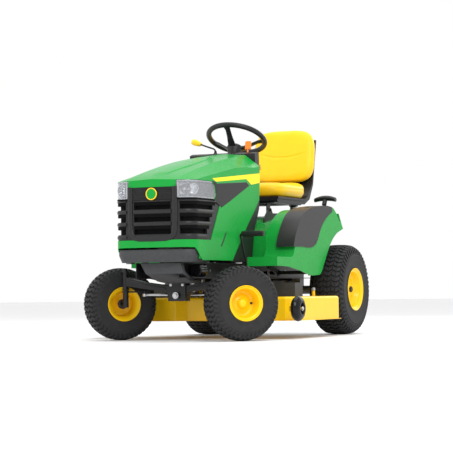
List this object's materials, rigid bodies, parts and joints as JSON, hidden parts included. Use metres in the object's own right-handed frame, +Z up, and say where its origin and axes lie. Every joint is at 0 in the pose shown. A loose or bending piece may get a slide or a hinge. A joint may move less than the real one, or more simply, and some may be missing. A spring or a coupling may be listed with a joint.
{
  "type": "riding lawn mower",
  "caption": "Front-engine riding lawn mower with a side-discharge cutting deck, tilting hood, tilting seat, foot pedals and a hand lift lever.",
  "frame": {"origin": "middle of the whole machine's footprint, on the ground", "axes": "+Y towards the rear, +X towards the driver's left, +Z up"},
  "size_m": [1.342, 1.794, 1.1833],
  "materials": {
    "green_paint": "gloss",
    "yellow_paint": "gloss",
    "black_paint": "satin",
    "bare_steel": "satin",
    "engine_metal": "cast",
    "engine_cover": "textured",
    "tyre_rubber": "moulded",
    "belt_rubber": "moulded",
    "black_plastic": "textured",
    "grey_plastic": "textured",
    "gloss_black": "polished",
    "yellow_plastic": "smooth",
    "orange_plastic": "smooth",
    "tank_plastic": "smooth",
    "seat_vinyl": "smooth vinyl",
    "clear_lens": "clear",
    "exhaust_steel": "heat-proof"
  },
  "bodies": {
    "chassis": {"frame": "black_paint", "skid_plate": "grey_plastic", "front_bumper": "grey_plastic", "hitch_plate": "black_paint", "engine_block": "engine_metal", "blower_housing": "engine_cover", "muffler": "exhaust_steel", "oil_filter": "gloss_black", "transaxle": "engine_metal", "battery": "black_plastic", "fuel_tank": "tank_plastic", "fender_deck": "green_paint", "lift_console": "black_plastic", "dash_tower": "black_plastic", "dash_panel": "black_plastic", "seat_mount": "black_paint", "seat_springs": "bare_steel", "mower_belt": "belt_rubber"},
    "axle_beam": {"front_axle": "black_paint"},
    "left_spindle": {"spindle_left": "black_paint"},
    "right_spindle": {"spindle_right": "black_paint"},
    "tie_rod_link": {"tie_rod": "bare_steel"},
    "drag_link_bar": {"drag_link": "bare_steel"},
    "sector": {"steering_sector": "bare_steel"},
    "pinion": {"steering_pinion": "bare_steel"},
    "steering_column": {"steering_shaft": "black_paint", "steering_wheel": "black_plastic"},
    "front_left_wheel": {"front_rim_left": "yellow_paint", "front_tyre_left": "tyre_rubber"},
    "front_right_wheel": {"front_rim_right": "yellow_paint", "front_tyre_right": "tyre_rubber"},
    "rear_left_wheel": {"rear_rim_left": "yellow_paint", "rear_tyre_left": "tyre_rubber"},
    "rear_right_wheel": {"rear_rim_right": "yellow_paint", "rear_tyre_right": "tyre_rubber"},
    "hood": {"hood_shell": "green_paint", "grille": "black_plastic", "headlights": "clear_lens"},
    "tilt_frame": {"seat_frame": "black_paint"},
    "seat": {"seat_pan": "black_plastic", "seat_cushion": "seat_vinyl", "seat_back": "seat_vinyl"},
    "deck": {"mower_deck": "yellow_paint", "mandrel_housings": "engine_metal", "belt_covers": "grey_plastic"},
    "lift_lever": {"lift_shaft": "black_paint"},
    "deck_links": {"lift_links": "bare_steel"},
    "left_blade": {"blade_spindle_left": "bare_steel"},
    "right_blade": {"blade_spindle_right": "bare_steel"},
    "crank_pulley": {"engine_pulley": "bare_steel"},
    "gauge_roller": {"gauge_wheel": "gloss_black"},
    "chute": {"discharge_chute": "black_plastic"},
    "brake": {"brake_pedal": "black_paint"},
    "forward": {"forward_pedal": "black_paint"},
    "reverse": {"reverse_pedal": "black_paint"},
    "blade_switch": {"pto_lever": "yellow_plastic"},
    "throttle": {"throttle_lever": "orange_plastic"},
    "brake_lock": {"parking_brake": "orange_plastic"},
    "key": {"ignition_key": "bare_steel"},
    "filler_cap": {"fuel_cap": "black_plastic"}
  },
  "joints": [
    {"name": "axle_rock", "type": "hinge", "parent": "chassis", "child": "axle_beam", "pos_m": [0.055, -0.597, 0.233], "axis": [0, 1, 0], "range_deg": [-5, 5]},
    {"name": "steer_left", "type": "hinge", "parent": "axle_beam", "child": "left_spindle", "pos_m": [0.367, -0.597, 0.3], "axis": [0, 0, 1], "range_deg": [0, 86]},
    {"name": "steer_right", "type": "hinge", "parent": "axle_beam", "child": "right_spindle", "pos_m": [-0.257, -0.597, 0.3], "axis": [0, 0, 1], "range_deg": [0, 86]},
    {"name": "tie_rod_swing", "type": "hinge", "parent": "left_spindle", "child": "tie_rod_link", "pos_m": [0.43861, -0.52021, 0.236], "axis": [0, 0, 1], "range_deg": [-86, 0]},
    {"name": "drag_link_swing", "type": "hinge", "parent": "left_spindle", "child": "drag_link_bar", "pos_m": [0.43861, -0.52021, 0.276], "axis": [0, 0, 1], "range_deg": [-86, 0]},
    {"name": "sector_turn", "type": "hinge", "parent": "chassis", "child": "sector", "pos_m": [0.055, -0.2506, 0.33], "axis": [0, 0, 1], "range_deg": [0, 86]},
    {"name": "pinion_turn", "type": "hinge", "parent": "chassis", "child": "pinion", "pos_m": [0.055, -0.1786, 0.33], "axis": [0, 0, 1], "range_deg": [0, 473]},
    {"name": "wheel_turn", "type": "hinge", "parent": "chassis", "child": "steering_column", "pos_m": [0.055, 0.1061, 1.0146], "axis": [0, 0.4226, 0.9063], "range_deg": [0, 473]},
    {"name": "front_left_roll", "type": "hinge", "parent": "left_spindle", "child": "front_left_wheel", "pos_m": [0.43428, -0.65974, 0.1905], "axis": [0.7314, -0.682, 0], "continuous": true},
    {"name": "front_right_roll", "type": "hinge", "parent": "right_spindle", "child": "front_right_wheel", "pos_m": [-0.32428, -0.53426, 0.1905], "axis": [-0.7314, 0.682, 0], "continuous": true},
    {"name": "rear_left_roll", "type": "hinge", "parent": "chassis", "child": "rear_left_wheel", "pos_m": [0.4615, 0.643, 0.254], "axis": [1, 0, 0], "continuous": true},
    {"name": "rear_right_roll", "type": "hinge", "parent": "chassis", "child": "rear_right_wheel", "pos_m": [-0.3515, 0.643, 0.254], "axis": [1, 0, 0], "continuous": true},
    {"name": "hood_open", "type": "hinge", "parent": "chassis", "child": "hood", "pos_m": [0.055, -0.79, 0.43], "axis": [1, 0, 0], "range_deg": [0, 60]},
    {"name": "seat_tilt", "type": "hinge", "parent": "chassis", "child": "tilt_frame", "pos_m": [0.055, 0.262, 0.7], "axis": [1, 0, 0], "range_deg": [0, 45]},
    {"name": "seat_slide", "type": "slide", "parent": "tilt_frame", "child": "seat", "axis": [0, 1, 0], "range_m": [-0.06, 0.04]},
    {"name": "deck_lift", "type": "slide", "parent": "chassis", "child": "deck", "axis": [0, 0, -1], "range_m": [0, 0.075], "deforming": ["mower_belt"]},
    {"name": "lift_lever_turn", "type": "hinge", "parent": "chassis", "child": "lift_lever", "pos_m": [0.055, 0.23, 0.35], "axis": [1, 0, 0], "range_deg": [0, 33.4]},
    {"name": "link_swing", "type": "hinge", "parent": "lift_lever", "child": "deck_links", "pos_m": [0.055, 0.1064, 0.38696], "axis": [1, 0, 0], "range_deg": [-33.4, 0]},
    {"name": "left_blade_spin", "type": "hinge", "parent": "deck", "child": "left_blade", "pos_m": [0.322, -0.047, 0.263], "axis": [0, 0, 1], "continuous": true},
    {"name": "right_blade_spin", "type": "hinge", "parent": "deck", "child": "right_blade", "pos_m": [-0.212, -0.047, 0.263], "axis": [0, 0, 1], "continuous": true},
    {"name": "crank_spin", "type": "hinge", "parent": "chassis", "child": "crank_pulley", "pos_m": [0.055, -0.5, 0.263], "axis": [0, 0, 1], "continuous": true},
    {"name": "gauge_roll", "type": "hinge", "parent": "deck", "child": "gauge_roller", "pos_m": [0.645, -0.416, 0.159], "axis": [1, 0, 0], "continuous": true},
    {"name": "chute_raise", "type": "hinge", "parent": "deck", "child": "chute", "pos_m": [-0.501, -0.095, 0.226], "axis": [0, 1, 0], "range_deg": [0, 80], "stiffness_Nm_per_rad": 4, "springref_deg": -34.38},
    {"name": "brake_press", "type": "hinge", "parent": "chassis", "child": "brake", "pos_m": [0.269, -0.25, 0.352], "axis": [1, 0, 0], "range_deg": [0, 20], "stiffness_Nm_per_rad": 20, "springref_deg": -22.92},
    {"name": "forward_press", "type": "hinge", "parent": "chassis", "child": "forward", "pos_m": [-0.189, -0.25, 0.352], "axis": [1, 0, 0], "range_deg": [0, 18], "stiffness_Nm_per_rad": 15, "springref_deg": -22.92},
    {"name": "reverse_press", "type": "hinge", "parent": "chassis", "child": "reverse", "pos_m": [-0.1985, -0.25, 0.352], "axis": [1, 0, 0], "range_deg": [-15, 0], "stiffness_Nm_per_rad": 15, "springref_deg": 22.92},
    {"name": "blade_engage", "type": "hinge", "parent": "chassis", "child": "blade_switch", "pos_m": [-0.011, 0.006, 1], "axis": [0, 0, 1], "range_deg": [0, 30]},
    {"name": "throttle_set", "type": "hinge", "parent": "chassis", "child": "throttle", "pos_m": [0.188, -0.008, 0.99], "axis": [1, 0, 0], "range_deg": [-25, 20]},
    {"name": "brake_lock_pull", "type": "slide", "parent": "chassis", "child": "brake_lock", "axis": [0, 0.9678, 0.2516], "range_m": [0, 0.02]},
    {"name": "key_turn", "type": "hinge", "parent": "chassis", "child": "key", "pos_m": [0.175, 0.098, 0.972], "axis": [0, 0.6941, 0.7198], "range_deg": [0, 90]},
    {"name": "cap_turn", "type": "hinge", "parent": "chassis", "child": "filler_cap", "pos_m": [0.205, 0.77, 0.69], "axis": [0, 0, 1], "continuous": true}
  ],
  "couplings": [
    {"joint": "steer_right", "follows": "steer_left", "ratio": 1},
    {"joint": "tie_rod_swing", "follows": "steer_left", "ratio": -1},
    {"joint": "drag_link_swing", "follows": "steer_left", "ratio": -1},
    {"joint": "sector_turn", "follows": "steer_left", "ratio": 1},
    {"joint": "pinion_turn", "follows": "steer_left", "ratio": 5.5},
    {"joint": "wheel_turn", "follows": "steer_left", "ratio": 5.5},
    {"joint": "lift_lever_turn", "follows": "deck_lift", "rad_per_m": 7.749},
    {"joint": "link_swing", "follows": "deck_lift", "rad_per_m": -7.749},
    {"joint": "right_blade_spin", "follows": "left_blade_spin", "ratio": 1},
    {"joint": "crank_spin", "follows": "left_blade_spin", "ratio": 1.3333}
  ]
}
